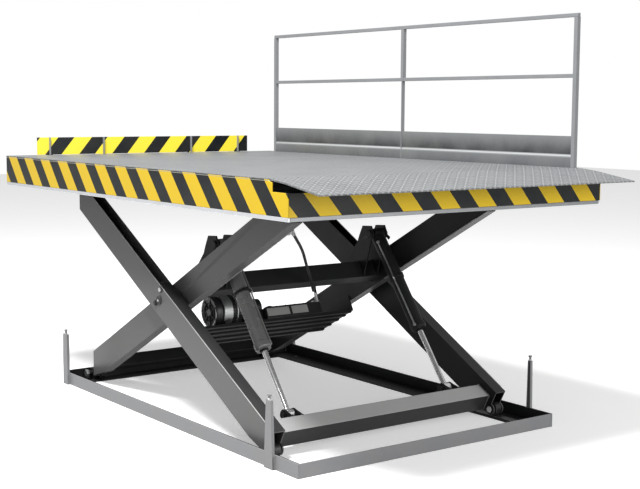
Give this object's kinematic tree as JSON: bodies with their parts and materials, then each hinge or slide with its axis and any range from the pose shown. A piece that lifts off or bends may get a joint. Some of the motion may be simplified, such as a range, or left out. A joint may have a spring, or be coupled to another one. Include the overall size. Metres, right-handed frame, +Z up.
{
  "type": "dock lift",
  "caption": "Hydraulic scissor dock lift with a striped platform, hinged lip, rear stop plate and railing.",
  "frame": {"origin": "on the floor, in the middle of the base's four anchor holes, under the middle pins of the legs as pictured", "axes": "+X towards the hinged lip, +Y towards the railing, +Z up"},
  "size_m": [4.1618, 2.5, 2.7576],
  "materials": {
    "base_paint": "satin",
    "dark_paint": "satin",
    "grey_paint": "satin",
    "unit_paint": "satin",
    "bright_steel": "polished",
    "deck_steel": "satin",
    "yellow_paint": "gloss",
    "pale_strip": "satin",
    "hose_rubber": "matte"
  },
  "bodies": {
    "base": {"base_side_left": "base_paint", "base_side_right": "base_paint", "base_front_bar": "base_paint", "base_rear_bar": "dark_paint", "roller_tracks": "bright_steel", "foot_lugs": "base_paint", "support_posts": "base_paint"},
    "inner_legs": {"inner_leg_left": "dark_paint", "inner_leg_right": "dark_paint", "inner_cross_tubes": "dark_paint", "cylinder_brackets": "dark_paint", "unit_tray": "dark_paint", "motor": "unit_paint", "pump": "unit_paint", "oil_tank": "unit_paint", "hose_fittings": "bright_steel", "hose": "hose_rubber"},
    "outer_legs": {"outer_leg_left": "grey_paint", "outer_leg_right": "grey_paint", "front_cross_beam": "grey_paint", "rod_lugs": "dark_paint"},
    "top_wheel_left": {"top_roller_left": "bright_steel"},
    "top_wheel_right": {"top_roller_right": "bright_steel"},
    "bottom_wheel_left": {"bottom_roller_left": "bright_steel"},
    "bottom_wheel_right": {"bottom_roller_right": "bright_steel"},
    "cylinder_left": {"barrel_left": "grey_paint"},
    "cylinder_right": {"barrel_right": "grey_paint"},
    "piston_left": {"rod_left": "bright_steel"},
    "piston_right": {"rod_right": "bright_steel"},
    "platform": {"deck_plate": "deck_steel", "side_skirts": "yellow_paint", "front_beam": "yellow_paint", "rear_beam": "yellow_paint", "long_beams": "dark_paint", "deck_beams": "dark_paint", "roller_rails": "dark_paint", "platform_lugs": "dark_paint", "side_strips": "pale_strip", "end_strips": "pale_strip", "hinge_tubes": "deck_steel", "rail_posts": "grey_paint", "rails": "grey_paint", "toe_boards": "grey_paint"},
    "lip": {"lip_plate": "deck_steel"},
    "rear_stop": {"stop_plate": "yellow_paint"}
  },
  "joints": [
    {"name": "scissor_fold", "type": "hinge", "parent": "base", "child": "inner_legs", "pos_m": [-1.33164, 0, 0.0583], "axis": [0, 1, 0], "range_deg": [0, 21]},
    {"name": "leg_cross", "type": "hinge", "parent": "inner_legs", "child": "outer_legs", "pos_m": [0, 0, 0.81171], "axis": [0, -1, 0], "range_deg": [0, 42]},
    {"name": "platform_level", "type": "hinge", "parent": "outer_legs", "child": "platform", "pos_m": [-1.33164, 0, 1.56512], "axis": [0, 1, 0], "range_deg": [0, 21]},
    {"name": "cylinder_swing_left", "type": "hinge", "parent": "inner_legs", "child": "cylinder_left", "pos_m": [0.335, -0.663, 1.20671], "axis": [0, -1, 0], "range_deg": [0, 45.67]},
    {"name": "cylinder_stroke_left", "type": "slide", "parent": "cylinder_left", "child": "piston_left", "axis": [-0.6099, 0, 0.7925], "range_m": [0, 0.3655]},
    {"name": "cylinder_swing_right", "type": "hinge", "parent": "inner_legs", "child": "cylinder_right", "pos_m": [0.335, 0.663, 1.20671], "axis": [0, -1, 0], "range_deg": [0, 45.67]},
    {"name": "cylinder_stroke_right", "type": "slide", "parent": "cylinder_right", "child": "piston_right", "axis": [-0.6099, 0, 0.7925], "range_m": [0, 0.3655]},
    {"name": "lip_hinge", "type": "hinge", "parent": "platform", "child": "lip", "pos_m": [1.753, 0, 1.72362], "axis": [0, -1, 0], "range_deg": [0, 95]},
    {"name": "stop_hinge", "type": "hinge", "parent": "platform", "child": "rear_stop", "pos_m": [-1.929, 0, 1.72562], "axis": [0, -1, 0], "range_deg": [0, 90]},
    {"name": "top_roller_turn_left", "type": "hinge", "parent": "inner_legs", "child": "top_wheel_left", "pos_m": [1.33164, -0.8, 1.56512], "axis": [0, 1, 0], "continuous": true},
    {"name": "bottom_roller_turn_left", "type": "hinge", "parent": "outer_legs", "child": "bottom_wheel_left", "pos_m": [1.33164, -0.925, 0.0583], "axis": [0, 1, 0], "continuous": true},
    {"name": "top_roller_turn_right", "type": "hinge", "parent": "inner_legs", "child": "top_wheel_right", "pos_m": [1.33164, 0.8, 1.56512], "axis": [0, 1, 0], "continuous": true},
    {"name": "bottom_roller_turn_right", "type": "hinge", "parent": "outer_legs", "child": "bottom_wheel_right", "pos_m": [1.33164, 0.925, 0.0583], "axis": [0, 1, 0], "continuous": true}
  ],
  "couplings": [
    {"joint": "leg_cross", "follows": "scissor_fold", "ratio": 2},
    {"joint": "platform_level", "follows": "scissor_fold", "ratio": 1},
    {"joint": "cylinder_swing_left", "follows": "scissor_fold", "ratio": 2.1724},
    {"joint": "cylinder_stroke_left", "follows": "scissor_fold", "m_per_rad": 0.99573},
    {"joint": "cylinder_swing_right", "follows": "scissor_fold", "ratio": 2.1724},
    {"joint": "cylinder_stroke_right", "follows": "scissor_fold", "m_per_rad": 0.99573}
  ]
}
